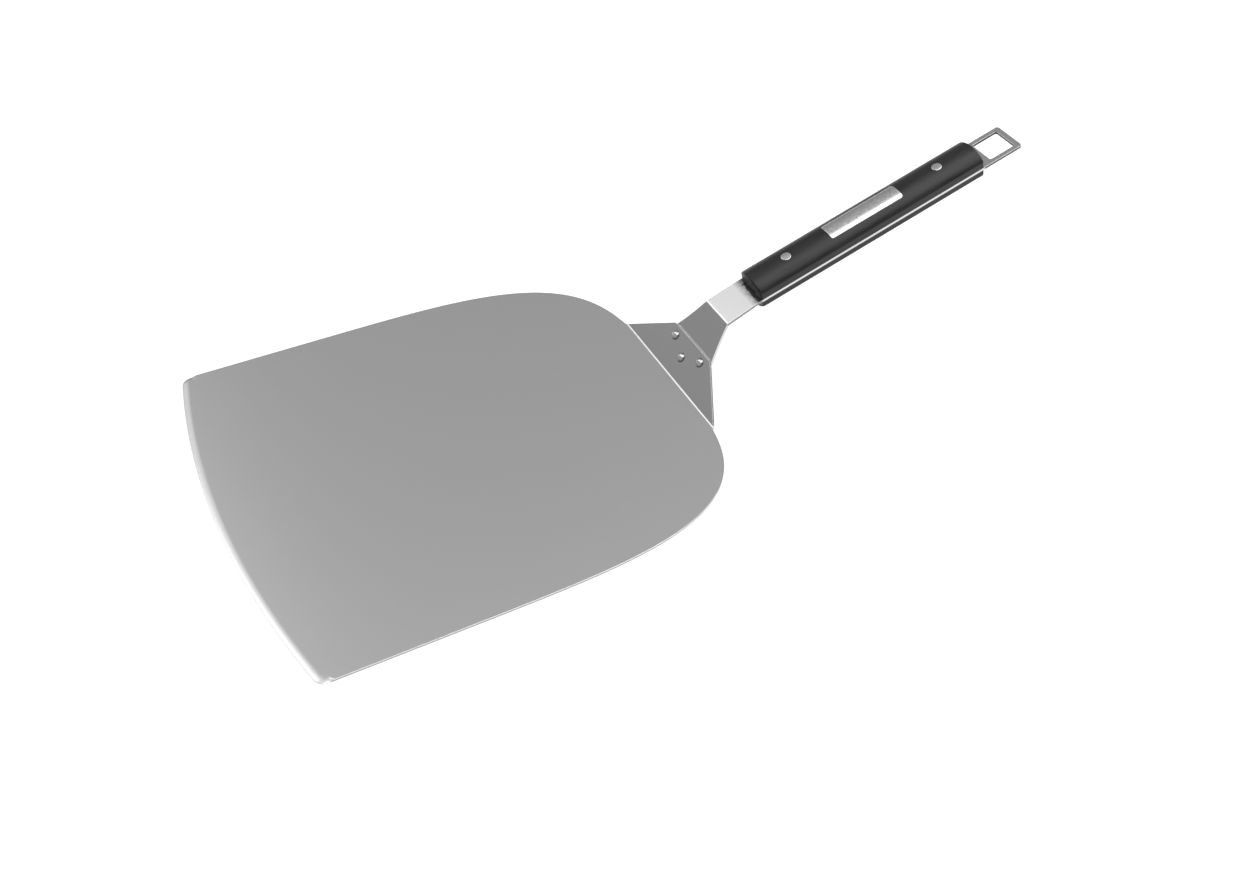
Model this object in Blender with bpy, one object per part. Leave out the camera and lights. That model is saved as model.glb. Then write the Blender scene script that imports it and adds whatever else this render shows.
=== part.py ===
"""Wide grill spatula: a folded steel blade riveted to a bent bar that carries two handle scales.

Metres, +Z up. The blade lies flat on Z = 0, +X runs from its front edge to the hanging slot,
and the object is symmetric about the XZ plane. The origin is at the bottom centre of its box.
"""

import math

import bmesh
import bpy
from mathutils import Euler, Vector

GAP = 0.0003  # clearance between pieces that touch on the real object

# Blade: a flat sheet with a bowed, ground front edge and squircle shoulders
SHEET = 0.0015
BLADE_LENGTH = 0.2854  # fold line to the front corners
FRONT_BOW = 0.0158
BLADE_HALF_WIDTH = 0.1312
CORNER_RADIUS = 0.0070
SHOULDER_LENGTH = 0.2081
SHOULDER_PAST_FOLD = 0.0013  # the shoulder curve would end this far behind the fold line
SHOULDER_POWER = 3.91
GROUND_WIDTH = 0.0045
GROUND_RUN_OUT = 0.0040  # how far the grinding fades along each side
CUTTING_EDGE = 0.0005

# Tab: the tapered rear of the sheet, folded up to meet the bar
TAB_ANGLE = math.radians(53.0)
TAB_LENGTH = 0.0273
FOLD_HALF_WIDTH = 0.0570
TAB_REAR_HALF_WIDTH = 0.0218
TAB_CORNER_RADIUS = 0.0020
FOLD_RADIUS = 0.0025

# Bar: riveted foot, neck, tang and hanging slot in one flat strip
BAR = 0.0020
BAR_HALF_WIDTH = 0.0127
FOOT_START = 0.0070  # along the slope, from the fold line
FOOT_HALF_WIDTH = 0.0236
FOOT_CORNER_RADIUS = 0.0050
NECK_ROOT_HALF_WIDTH = 0.0216
NECK_MIDDLE_HALF_WIDTH = 0.0168
NECK_LENGTH = 0.05234  # fold line to the upper bend, along the slope
BEND_RADIUS = 0.0040
RISE_ANGLE = math.radians(22.6)  # the bare stretch between the neck and the handle
RISE_LENGTH = 0.02496
RISE_HALF_WIDTH = 0.0132  # at the bend; it narrows to the tang's width
KNEE_RADIUS = 0.0400  # the slight bend where the bare stretch meets the tang
KNEE_AT = 0.0255  # where that bend is along the tang
TANG_ANGLE = math.radians(18.1)
TANG_LENGTH = 0.2354
TANG_CORNER_RADIUS = 0.0016
SLOT_START = 0.2119
SLOT_END = 0.2315
SLOT_HALF_WIDTH = 0.0093
SLOT_CORNER_RADIUS = 0.0015

# Blade rivets, as (distance up the tab, offset across it)
BLADE_RIVETS = {
    "blade_rivet_centre": (0.0140, 0.0),
    "blade_rivet_left": (0.0214, 0.0154),
    "blade_rivet_right": (0.0214, -0.0154),
}
DOME_RADIUS = 0.0032
DOME_HEIGHT = 0.0020
RIVET_SHANK_RADIUS = 0.0015
TAIL_RADIUS = 0.0026
TAIL_HEIGHT = 0.0009

# Handle scales, measured from the tang's top face
SCALE_FRONT = 0.0286  # where the front face meets the sides
SCALE_FRONT_BULGE = 0.00295
SCALE_FRONT_RAKE = 0.175  # bulge lost per unit of height above the flat face
SCALE_END = 0.2042
CROWN_RADIUS = 0.0174
UPPER_HEIGHT = 0.0111
LOWER_HEIGHT = 0.0100
SCALE_EDGE_RADIUS = 0.0011
SCALE_SHOULDER_RADIUS = 0.0030

# Inlay plate let into the upper scale, and the pad that bonds it
INLAY_START = 0.0877
INLAY_END = 0.1442
INLAY_HALF_WIDTH = 0.0069
INLAY_CORNER_RADIUS = 0.0020
INLAY_THICKNESS = 0.0008
INLAY_PROUD = 0.0004
PAD_THICKNESS = 0.0004
PAD_MARGIN = 0.0010

# Handle rivets: two interlocking halves each
HANDLE_RIVETS = {"front": 0.0564, "rear": 0.1756}
HEAD_RADIUS = 0.0034
HEAD_HEIGHT = 0.0020
BODY_RADIUS = 0.0027
PIN_RADIUS = 0.0015
MALE_SHOULDER = 0.0030
PIN_TIP = -0.0050

# Where the fold line and the upper bend are
NECK_DROP = SHEET + GAP  # the bar's top face lies this far under the tab's top face
TAB_UP = Vector((math.cos(TAB_ANGLE), 0, math.sin(TAB_ANGLE)))
TAB_NORMAL = Vector((-math.sin(TAB_ANGLE), 0, math.cos(TAB_ANGLE)))
TANG_UP = Vector((math.cos(TANG_ANGLE), 0, math.sin(TANG_ANGLE)))
TANG_NORMAL = Vector((-math.sin(TANG_ANGLE), 0, math.cos(TANG_ANGLE)))
RISE_UP = Vector((math.cos(RISE_ANGLE), 0, math.sin(RISE_ANGLE)))
BEND_FROM_FOLD = TAB_UP * NECK_LENGTH - TAB_NORMAL * NECK_DROP
KNEE_FROM_FOLD = BEND_FROM_FOLD + RISE_UP * RISE_LENGTH
TANG_FROM_FOLD = KNEE_FROM_FOLD - TANG_UP * KNEE_AT  # the zero of distances along the tang
REAR_FROM_FOLD = TANG_FROM_FOLD + TANG_UP * TANG_LENGTH - TANG_NORMAL * BAR
FOLD = Vector(((BLADE_LENGTH + FRONT_BOW - REAR_FROM_FOLD.x) / 2, 0, SHEET))
BEND = FOLD + BEND_FROM_FOLD
KNEE = FOLD + KNEE_FROM_FOLD
TANG_ZERO = FOLD + TANG_FROM_FOLD

# Smoothness
FRONT_STEPS = 14
SHOULDER_STEPS = 24
FILLET_STEPS = 5
FOLD_STEPS = 5
TURN_STEPS = 24
CROWN_STEPS = 12
SHARP_ANGLE = math.radians(32)


# ---------------------------------------------------------------- materials and objects

def material(name, grey, roughness, metallic):
    """A plain Principled material of one neutral grey."""
    made = bpy.data.materials.new(name)
    made.use_nodes = True
    shader = made.node_tree.nodes["Principled BSDF"]
    shader.inputs["Base Color"].default_value = (grey, grey, grey, 1)
    shader.inputs["Roughness"].default_value = roughness
    shader.inputs["Metallic"].default_value = metallic
    made.diffuse_color = (grey, grey, grey, 1)
    return made


def add_object(name, bm, look, parent=None, place=(0, 0, 0)):
    """Links a bmesh as a smooth-shaded object with one material."""
    bmesh.ops.recalc_face_normals(bm, faces=bm.faces)
    mesh = bpy.data.meshes.new(name)
    bm.to_mesh(mesh)
    bm.free()
    mesh.shade_smooth()
    mesh.set_sharp_from_angle(angle=SHARP_ANGLE)
    mesh.materials.append(look)
    made = bpy.data.objects.new(name, mesh)
    bpy.context.scene.collection.objects.link(made)
    made.location = place
    made.parent = parent
    return made


def add_frame(name, origin, slope):
    """An empty whose X runs up a slope and whose Z is that slope's normal."""
    made = bpy.data.objects.new(name, None)
    bpy.context.scene.collection.objects.link(made)
    made.location = origin
    made.rotation_euler = Euler((0, -slope, 0))
    return made


def cut(target, cutter):
    """Subtracts a hidden cutter from an object with a Boolean modifier."""
    cutter.hide_render = True
    cutter.display_type = "WIRE"
    boolean = target.modifiers.new(cutter.name, "BOOLEAN")
    boolean.operation = "DIFFERENCE"
    boolean.object = cutter


# ---------------------------------------------------------------- outlines

def fillet(before, corner, after, radius, steps=FILLET_STEPS):
    """Points of the arc that rounds one corner of a 2D outline."""
    a = (Vector(before) - Vector(corner)).normalized()
    b = (Vector(after) - Vector(corner)).normalized()
    half = a.angle(b) / 2
    centre = Vector(corner) + (a + b).normalized() * radius / math.sin(half)
    start = Vector(corner) + a * radius / math.tan(half) - centre
    turn = start.angle_signed(Vector(corner) + b * radius / math.tan(half) - centre)
    points = []
    for i in range(steps + 1):
        angle = -turn * i / steps
        x = start.x * math.cos(angle) - start.y * math.sin(angle)
        y = start.x * math.sin(angle) + start.y * math.cos(angle)
        points.append(centre + Vector((x, y)))
    return points


def rounded_rectangle(x0, x1, half_width, radius):
    """A rectangle along X, symmetric about Y = 0, with four rounded corners."""
    corners = [(x0, -half_width), (x1, -half_width), (x1, half_width), (x0, half_width)]
    outline = []
    for i, corner in enumerate(corners):
        outline += fillet(corners[i - 1], corner, corners[(i + 1) % 4], radius)
    return outline


def tab_half_width(distance):
    """Half the tab's width at a distance up the slope from the fold line."""
    taper = (FOLD_HALF_WIDTH - TAB_REAR_HALF_WIDTH) / TAB_LENGTH
    return FOLD_HALF_WIDTH - taper * distance


def along_shoulder(distance):
    """How far along the shoulder's length, 0 to 1, a distance from the fold line is."""
    return min(1.0, 1 + (distance - SHOULDER_PAST_FOLD) / SHOULDER_LENGTH)


def sheet_half_width(distance):
    """Half the sheet's width near the fold, where the shoulder runs into the tab's side."""
    inside = 1 - along_shoulder(distance) ** SHOULDER_POWER
    return max(tab_half_width(distance), BLADE_HALF_WIDTH * inside ** (1 / SHOULDER_POWER))


def shoulder_point(angle):
    """A point of the squircle shoulder; the angle is 90 degrees at its widest."""
    power = 2 / SHOULDER_POWER
    along = math.cos(angle) ** power
    across = math.sin(angle) ** power
    return Vector((SHOULDER_PAST_FOLD + SHOULDER_LENGTH * (along - 1), BLADE_HALF_WIDTH * across))


def blade_half_outline(fold_start):
    """(point, share of full grinding) from the middle of the front edge to the fold."""
    bow_radius = (BLADE_HALF_WIDTH**2 + FRONT_BOW**2) / (2 * FRONT_BOW)
    bow_angle = math.asin(BLADE_HALF_WIDTH / bow_radius)
    bow_centre = bow_radius - BLADE_LENGTH - FRONT_BOW
    bow = []
    for i in range(FRONT_STEPS + 1):
        angle = bow_angle * i / FRONT_STEPS
        bow.append(Vector((bow_centre - bow_radius * math.cos(angle), bow_radius * math.sin(angle))))
    side_start = shoulder_point(math.pi / 2)
    corner = fillet(bow[-2], bow[-1], side_start, CORNER_RADIUS)
    run_out = corner[-1] + Vector((GROUND_RUN_OUT, 0))
    outline = [(point, 1.0) for point in bow[:-1] + corner] + [(run_out, 0.0)]
    end = math.acos(along_shoulder(fold_start) ** (SHOULDER_POWER / 2))
    for i in range(SHOULDER_STEPS + 1):
        angle = math.pi / 2 + (end - math.pi / 2) * i / SHOULDER_STEPS
        outline.append((shoulder_point(angle), 0.0))
    return outline


# ---------------------------------------------------------------- solids

def loft(sections, bm=None):
    """A closed solid through rings of equal count, with an n-gon at each end."""
    bm = bm or bmesh.new()
    rings = [[bm.verts.new(point) for point in section] for section in sections]
    count = len(rings[0])
    for near, far in zip(rings, rings[1:]):
        for i in range(count):
            j = (i + 1) % count
            bm.faces.new((near[i], near[j], far[j], far[i]))
    bm.faces.new(rings[0])
    bm.faces.new(reversed(rings[-1]))
    return bm


def prism(outline, low, high):
    """A 2D outline raised along Z from low to high."""
    bm = bmesh.new()
    base = bm.faces.new([bm.verts.new((p[0], p[1], low)) for p in outline])
    grown = bmesh.ops.extrude_face_region(bm, geom=[base])["geom"]
    moved = [v for v in grown if isinstance(v, bmesh.types.BMVert)]
    bmesh.ops.translate(bm, verts=moved, vec=(0, 0, high - low))
    return bm


def turned(profile, steps=TURN_STEPS):
    """Spins an (r, z) profile, which starts and ends on the Z axis, into a solid."""
    bm = bmesh.new()
    verts = [bm.verts.new((r, 0, z)) for r, z in profile]
    edges = [bm.edges.new(pair) for pair in zip(verts, verts[1:])]
    bmesh.ops.spin(
        bm, geom=verts + edges, cent=(0, 0, 0), axis=(0, 0, 1), angle=2 * math.pi, steps=steps, use_merge=True
    )
    bmesh.ops.remove_doubles(bm, verts=bm.verts, dist=1e-6)
    return bm


def strip_section(centre, normal, half_width, thickness):
    """A rectangle across a flat strip whose top face passes through the centre point."""
    across = Vector((0, half_width, 0))
    under = normal * thickness
    return [centre - across, centre + across, centre + across - under, centre - across - under]


# ---------------------------------------------------------------- blade

def blade_mesh():
    """The ground flat sheet, the fold and the tab as one closed solid."""
    tangent = FOLD_RADIUS * math.tan(TAB_ANGLE / 2)
    half = blade_half_outline(-tangent)
    outline = [(p.copy(), g) for p, g in half] + [(Vector((p.x, -p.y)), g) for p, g in reversed(half[1:])]
    bm = bmesh.new()
    bottom, rim, inner = [], [], []
    count = len(outline)
    for i, (point, ground) in enumerate(outline):
        before = outline[i - 1][0]
        after = outline[(i + 1) % count][0]
        along = (after - before).normalized()
        inward = Vector((along.y, -along.x)) * GROUND_WIDTH * ground
        at = Vector((FOLD.x + point.x, point.y, 0))
        bottom.append(bm.verts.new(at))
        rim_height = SHEET - (SHEET - CUTTING_EDGE) * ground
        rim.append(bm.verts.new(at + Vector((0, 0, rim_height))))
        if ground > 0:
            inner.append(bm.verts.new(at + Vector((inward.x, inward.y, SHEET))))
        else:
            inner.append(rim[-1])
    left_end = len(half) - 1
    right_end = left_end + 1
    for i in range(count):
        j = (i + 1) % count
        if i == left_end:
            continue
        bm.faces.new((bottom[i], bottom[j], rim[j], rim[i]))
        ring = [rim[i], rim[j]] + ([inner[j]] if inner[j] is not rim[j] else [])
        ring += [inner[i]] if inner[i] is not rim[i] else []
        if len(ring) > 2:
            bm.faces.new(ring)
    bm.faces.new(inner)
    bm.faces.new(list(reversed(bottom)))

    previous = [rim[left_end], rim[right_end], bottom[right_end], bottom[left_end]]
    for section in tab_sections(tangent):
        ring = [bm.verts.new(point) for point in section]
        for i in range(4):
            j = (i + 1) % 4
            bm.faces.new((previous[i], previous[j], ring[j], ring[i]))
        previous = ring
    bm.faces.new(previous)
    return bm


def tab_sections(tangent):
    """Sections of the sheet through the fold and up the tab, left side first."""
    stations = []
    centre = FOLD + Vector((-tangent, 0, FOLD_RADIUS))
    for i in range(1, FOLD_STEPS + 1):
        share = i / FOLD_STEPS
        angle = TAB_ANGLE * share
        normal = Vector((-math.sin(angle), 0, math.cos(angle)))
        distance = tangent * (2 * share - 1)
        stations.append((centre - normal * FOLD_RADIUS, normal, sheet_half_width(distance)))
    before = (0, tab_half_width(0))
    corner = (TAB_LENGTH, tab_half_width(TAB_LENGTH))
    for point in fillet(before, corner, (TAB_LENGTH, 0), TAB_CORNER_RADIUS):
        stations.append((FOLD + TAB_UP * point.x, TAB_NORMAL, point.y))
    for top, normal, half_width in stations:
        a, b, c, d = strip_section(top, normal, half_width, SHEET)
        yield [b, a, d, c]


# ---------------------------------------------------------------- bar

def neck_half_width(distance):
    """The neck narrows in a slight hollow curve from the tab's rear edge to the bend."""
    share = (distance - TAB_LENGTH) / (NECK_LENGTH - TAB_LENGTH)
    root = NECK_ROOT_HALF_WIDTH * (1 - share) * (1 - 2 * share)
    middle = NECK_MIDDLE_HALF_WIDTH * 4 * share * (1 - share)
    return root + middle + RISE_HALF_WIDTH * share * (2 * share - 1)


def turned_down(apex, steep, shallow, radius, half_width):
    """Sections of the strip round a bend that lowers its slope; the apex is where the slopes meet."""
    before = Vector((math.cos(steep), 0, math.sin(steep)))
    start_normal = Vector((-math.sin(steep), 0, math.cos(steep)))
    centre = apex - before * radius * math.tan((steep - shallow) / 2) - start_normal * radius
    for i in range(FOLD_STEPS + 1):
        angle = steep + (shallow - steep) * i / FOLD_STEPS
        normal = Vector((-math.sin(angle), 0, math.cos(angle)))
        yield strip_section(centre + normal * radius, normal, half_width, BAR)


def bar_sections():
    """Sections of the strip from its foot under the tab to the end of the hanging loop."""
    foot_corner = (FOOT_START, FOOT_HALF_WIDTH)
    root = (TAB_LENGTH, NECK_ROOT_HALF_WIDTH)
    under_tab = FOLD - TAB_NORMAL * NECK_DROP
    for point in fillet((FOOT_START, 0), foot_corner, root, FOOT_CORNER_RADIUS):
        yield strip_section(under_tab + TAB_UP * point.x, TAB_NORMAL, point.y, BAR)
    tangent = BEND_RADIUS * math.tan((TAB_ANGLE - RISE_ANGLE) / 2)
    neck_steps = 8
    for i in range(neck_steps):
        distance = TAB_LENGTH + (NECK_LENGTH - tangent - TAB_LENGTH) * i / neck_steps
        half_width = neck_half_width(distance)
        yield strip_section(under_tab + TAB_UP * distance, TAB_NORMAL, half_width, BAR)
    yield from turned_down(BEND, TAB_ANGLE, RISE_ANGLE, BEND_RADIUS, RISE_HALF_WIDTH)
    yield from turned_down(KNEE, RISE_ANGLE, TANG_ANGLE, KNEE_RADIUS, BAR_HALF_WIDTH)
    end_corner = (TANG_LENGTH, BAR_HALF_WIDTH)
    for point in fillet((0, BAR_HALF_WIDTH), end_corner, (TANG_LENGTH, 0), TANG_CORNER_RADIUS):
        yield strip_section(TANG_ZERO + TANG_UP * point.x, TANG_NORMAL, point.y, BAR)


# ---------------------------------------------------------------- handle

def crown(y, height, inset=0.0):
    """Height of the rounded crown above the scale's flat face at an offset from its middle."""
    return height - CROWN_RADIUS + math.sqrt((CROWN_RADIUS - inset) ** 2 - y**2)


def scale_profile(height, inset):
    """(y, z) outline of a scale: flat face, sides, softened shoulders and crown."""
    half_width = BAR_HALF_WIDTH - inset
    shoulder = (half_width, crown(half_width, height, inset))
    step = 2 * half_width / CROWN_STEPS
    beside = (half_width - step, crown(half_width - step, height, inset))
    soft = fillet((half_width, GAP), shoulder, beside, SCALE_SHOULDER_RADIUS - inset)
    reach = soft[-1].x
    right = [Vector((half_width, GAP))] + soft
    top = []
    for i in range(1, CROWN_STEPS):
        y = reach - 2 * reach * i / CROWN_STEPS
        top.append(Vector((y, crown(y, height, inset))))
    left = [Vector((-p.x, p.y)) for p in reversed(right)]
    return right + top + left


def scale_front(y, z):
    """Where the front face is along the tang: bowed at its foot, straighter higher up."""
    bulge = SCALE_FRONT_BULGE - SCALE_FRONT_RAKE * z
    return SCALE_FRONT - bulge * (1 - (y / BAR_HALF_WIDTH) ** 2)


def scale_mesh(height, side):
    """A scale lofted along the tang; side is +1 above it and -1 below it."""
    sections = []
    rounding = [(math.pi / 2 * i / 3) for i in range(4)]
    for angle in rounding:
        inset = SCALE_EDGE_RADIUS * (1 - math.sin(angle))
        setback = SCALE_EDGE_RADIUS * (1 - math.cos(angle))
        profile = scale_profile(height, inset)
        sections.append([(scale_front(y, z) + setback, y, z) for y, z in profile])
    for angle in reversed(rounding):
        inset = SCALE_EDGE_RADIUS * (1 - math.sin(angle))
        setback = SCALE_EDGE_RADIUS * (1 - math.cos(angle))
        sections.append([(SCALE_END - setback, y, z) for y, z in scale_profile(height, inset)])
    base = 0.0 if side > 0 else -BAR
    return loft([[(x, y, base + side * z) for x, y, z in ring] for ring in sections])


def curved_plate(inset, radius_top, radius_bottom):
    """A rounded rectangle bent over the upper crown between two concentric radii."""
    x0, x1 = INLAY_START + inset, INLAY_END - inset
    half_width = INLAY_HALF_WIDTH - inset
    corner = INLAY_CORNER_RADIUS - inset
    straight = half_width - corner
    offsets = [straight + corner * math.sin(math.pi / 2 * i / 4) for i in range(5)]
    flat = [straight * (2 * i / 8 - 1) for i in range(1, 8)]
    stations = [-y for y in reversed(offsets)] + flat + offsets
    axis_height = UPPER_HEIGHT - CROWN_RADIUS
    sections = []
    for y in stations:
        past = max(0.0, abs(y) - straight)
        setback = corner - math.sqrt(max(0.0, corner**2 - past**2))
        top = axis_height + math.sqrt(radius_top**2 - y**2)
        bottom = axis_height + math.sqrt(radius_bottom**2 - y**2)
        a, b = x0 + setback, x1 - setback
        sections.append([(a, y, bottom), (b, y, bottom), (b, y, top), (a, y, top)])
    return loft(sections)


def fit_head_to_crown(bm, height, side):
    """Grinds a rivet head's outer face flush with the crown around it."""
    base = 0.0 if side > 0 else -BAR
    outermost = base + side * height
    for vert in bm.verts:
        if abs(vert.co.z - outermost) < 1e-6:
            vert.co.z = base + side * crown(vert.co.y, height)


def male_rivet():
    """Upper half: head, body and the pin that drives into the lower half."""
    under_head = UPPER_HEIGHT - HEAD_HEIGHT
    bm = turned([
        (0, PIN_TIP), (PIN_RADIUS * 0.7, PIN_TIP), (PIN_RADIUS, PIN_TIP + 0.0006),
        (PIN_RADIUS, MALE_SHOULDER), (BODY_RADIUS, MALE_SHOULDER),
        (BODY_RADIUS, under_head), (HEAD_RADIUS, under_head),
        (HEAD_RADIUS, UPPER_HEIGHT), (HEAD_RADIUS / 2, UPPER_HEIGHT), (0, UPPER_HEIGHT),
    ])
    fit_head_to_crown(bm, UPPER_HEIGHT, 1)
    return bm


def female_rivet():
    """Lower half: head and the tube that takes the pin."""
    outermost = -BAR - LOWER_HEIGHT
    under_head = outermost + HEAD_HEIGHT
    rim = MALE_SHOULDER - GAP
    bore = PIN_RADIUS + GAP
    bm = turned([
        (0, outermost), (HEAD_RADIUS / 2, outermost), (HEAD_RADIUS, outermost),
        (HEAD_RADIUS, under_head), (BODY_RADIUS, under_head),
        (BODY_RADIUS, rim), (bore, rim), (bore, PIN_TIP - GAP), (0, PIN_TIP - GAP),
    ])
    fit_head_to_crown(bm, LOWER_HEIGHT, -1)
    return bm


def rivet_hole(counterbored):
    """Cutter for one handle rivet, with a counterbore for each head."""
    body, head = BODY_RADIUS + GAP, HEAD_RADIUS + GAP
    margin = 0.0010
    low, high = -BAR - LOWER_HEIGHT, UPPER_HEIGHT
    if not counterbored:
        return turned([(0, low), (body, low), (body, high), (0, high)])
    low_seat, high_seat = low + HEAD_HEIGHT + GAP, high - HEAD_HEIGHT - GAP
    return turned([
        (0, low - margin), (head, low - margin), (head, low_seat), (body, low_seat),
        (body, high_seat), (head, high_seat), (head, high + margin), (0, high + margin),
    ])


# ---------------------------------------------------------------- blade rivets

def blade_rivet():
    """A dome-headed rivet through the tab and the foot, with its tail upset underneath."""
    sphere = (DOME_RADIUS**2 + DOME_HEIGHT**2) / (2 * DOME_HEIGHT)
    sweep = math.asin(DOME_RADIUS / sphere)
    dome_steps = 5
    underside = -NECK_DROP - BAR - GAP
    tail = underside - TAIL_HEIGHT
    profile = [
        (0, tail), (TAIL_RADIUS * 0.8, tail), (TAIL_RADIUS, underside - TAIL_HEIGHT / 2),
        (TAIL_RADIUS, underside), (RIVET_SHANK_RADIUS, underside), (RIVET_SHANK_RADIUS, GAP),
    ]
    for i in range(dome_steps + 1):
        angle = sweep * (1 - i / dome_steps)
        height = GAP + DOME_HEIGHT - sphere * (1 - math.cos(angle))
        profile.append((sphere * math.sin(angle), height))
    return turned(profile)


def blade_rivet_hole():
    """Cutter for one blade rivet through the tab and the foot."""
    radius = RIVET_SHANK_RADIUS + GAP
    reach = 0.0010
    low = -NECK_DROP - BAR - reach
    return turned([(0, low), (radius, low), (radius, reach), (0, reach)])


# ---------------------------------------------------------------- assembly

def build():
    for old in list(bpy.data.objects):
        bpy.data.objects.remove(old)
    steel = material("brushed_sheet_steel", 0.55, 0.38, 1.0)
    bar_steel = material("satin_bar_steel", 0.60, 0.35, 1.0)
    rivet_steel = material("rivet_steel", 0.66, 0.28, 1.0)
    inlay_steel = material("inlay_steel", 0.62, 0.32, 1.0)
    black = material("black_scale", 0.035, 0.50, 0.0)
    tape = material("bonding_pad", 0.20, 0.80, 0.0)

    tab_frame = add_frame("tab_frame", FOLD, TAB_ANGLE)
    handle_frame = add_frame("handle_frame", TANG_ZERO, TANG_ANGLE)

    blade = add_object("blade", blade_mesh(), steel)
    neck_tang = add_object("neck_tang", loft(list(bar_sections())), bar_steel)
    for name, (distance, offset) in BLADE_RIVETS.items():
        place = (distance, offset, 0)
        add_object(name, blade_rivet(), rivet_steel, tab_frame, place)
        hole = add_object(name + "_hole", blade_rivet_hole(), steel, tab_frame, place)
        cut(blade, hole)
        cut(neck_tang, hole)

    slot = rounded_rectangle(SLOT_START, SLOT_END, SLOT_HALF_WIDTH, SLOT_CORNER_RADIUS)
    cut(neck_tang, add_object("slot_hole", prism(slot, -2 * BAR, BAR), steel, handle_frame))

    upper = add_object("upper_scale", scale_mesh(UPPER_HEIGHT, 1), black, handle_frame)
    lower = add_object("lower_scale", scale_mesh(LOWER_HEIGHT, -1), black, handle_frame)
    for name, distance in HANDLE_RIVETS.items():
        place = (distance, 0, 0)
        add_object(name + "_rivet_male", male_rivet(), rivet_steel, handle_frame, place)
        add_object(name + "_rivet_female", female_rivet(), rivet_steel, handle_frame, place)
        seat = add_object(name + "_rivet_seat", rivet_hole(True), steel, handle_frame, place)
        cut(upper, seat)
        cut(lower, seat)
        hole = add_object(name + "_rivet_hole", rivet_hole(False), steel, handle_frame, place)
        cut(neck_tang, hole)

    plate_top = CROWN_RADIUS + INLAY_PROUD
    plate_bottom = plate_top - INLAY_THICKNESS
    pad_top = plate_bottom - GAP
    pad_bottom = pad_top - PAD_THICKNESS
    recess = curved_plate(-GAP, CROWN_RADIUS + 2 * INLAY_THICKNESS, pad_bottom - GAP)
    cut(upper, add_object("inlay_recess", recess, steel, handle_frame))
    plate = curved_plate(0.0, plate_top, plate_bottom)
    add_object("inlay_plate", plate, inlay_steel, handle_frame)
    pad = curved_plate(PAD_MARGIN, pad_top, pad_bottom)
    add_object("inlay_pad", pad, tape, handle_frame)


build()
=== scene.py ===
"""Visual model of the wide grill spatula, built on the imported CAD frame.

Every visible piece is rebuilt here at full smoothness in the frame of the CAD nodes (metres, +Z up,
+X from the blade's front edge to the hanging slot) and given a procedural material.
"""

import math

import bmesh
import bpy
from mathutils import Matrix, Vector


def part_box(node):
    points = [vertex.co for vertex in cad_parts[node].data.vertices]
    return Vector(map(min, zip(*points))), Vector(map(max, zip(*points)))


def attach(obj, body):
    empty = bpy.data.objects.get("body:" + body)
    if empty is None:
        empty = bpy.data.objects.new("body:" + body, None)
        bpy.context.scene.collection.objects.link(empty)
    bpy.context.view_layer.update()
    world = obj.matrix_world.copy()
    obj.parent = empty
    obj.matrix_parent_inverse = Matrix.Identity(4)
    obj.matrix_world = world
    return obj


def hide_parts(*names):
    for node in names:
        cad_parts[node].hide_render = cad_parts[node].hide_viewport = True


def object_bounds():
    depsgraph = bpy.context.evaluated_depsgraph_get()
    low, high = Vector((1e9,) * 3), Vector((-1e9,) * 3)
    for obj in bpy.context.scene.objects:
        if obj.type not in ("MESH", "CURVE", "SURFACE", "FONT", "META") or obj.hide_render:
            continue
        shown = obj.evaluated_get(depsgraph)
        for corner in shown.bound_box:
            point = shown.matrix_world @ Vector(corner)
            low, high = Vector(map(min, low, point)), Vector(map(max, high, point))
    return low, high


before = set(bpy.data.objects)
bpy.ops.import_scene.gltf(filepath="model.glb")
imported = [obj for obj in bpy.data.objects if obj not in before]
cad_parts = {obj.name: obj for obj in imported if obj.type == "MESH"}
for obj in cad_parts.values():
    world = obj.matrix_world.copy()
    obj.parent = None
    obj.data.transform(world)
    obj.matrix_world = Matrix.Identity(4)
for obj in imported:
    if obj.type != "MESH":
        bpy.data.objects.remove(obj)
CAD_LOW, CAD_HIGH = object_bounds()

GAP = 0.0003  # clearance between the CAD's pieces
CLOSE = 0.00004  # clearance left where pieces are clamped together

# Blade
SHEET = 0.0015
BLADE_LENGTH = 0.2854
FRONT_BOW = 0.0158
BLADE_HALF_WIDTH = 0.1312
CORNER_RADIUS = 0.0070
SHOULDER_LENGTH = 0.2081
SHOULDER_PAST_FOLD = 0.0013
SHOULDER_POWER = 3.91
GROUND_WIDTH = 0.0045
GROUND_RUN_OUT = 0.0040
CUTTING_EDGE = 0.0005
SOFT_EDGE = 0.00016  # rounding of the sheet's edges

# Tab
TAB_ANGLE = math.radians(53.0)
TAB_LENGTH = 0.0273
FOLD_HALF_WIDTH = 0.0570
TAB_REAR_HALF_WIDTH = 0.0218
TAB_CORNER_RADIUS = 0.0020
FOLD_RADIUS = 0.0025

# Bar
BAR = 0.0020
BAR_HALF_WIDTH = 0.0127
FOOT_START = 0.0070
FOOT_HALF_WIDTH = 0.0236
FOOT_CORNER_RADIUS = 0.0050
NECK_ROOT_HALF_WIDTH = 0.0216
NECK_MIDDLE_HALF_WIDTH = 0.0168
NECK_LENGTH = 0.05234
BEND_RADIUS = 0.0040
RISE_ANGLE = math.radians(22.6)
RISE_LENGTH = 0.02496
RISE_HALF_WIDTH = 0.0132
KNEE_RADIUS = 0.0400
KNEE_AT = 0.0255
TANG_ANGLE = math.radians(18.1)
TANG_LENGTH = 0.2354
TANG_CORNER_RADIUS = 0.0016
SLOT_START = 0.2119
SLOT_END = 0.2315
SLOT_HALF_WIDTH = 0.0093
SLOT_CORNER_RADIUS = 0.0015
BAR_SOFT_EDGE = 0.00022  # rounding of the bar's edges

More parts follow.
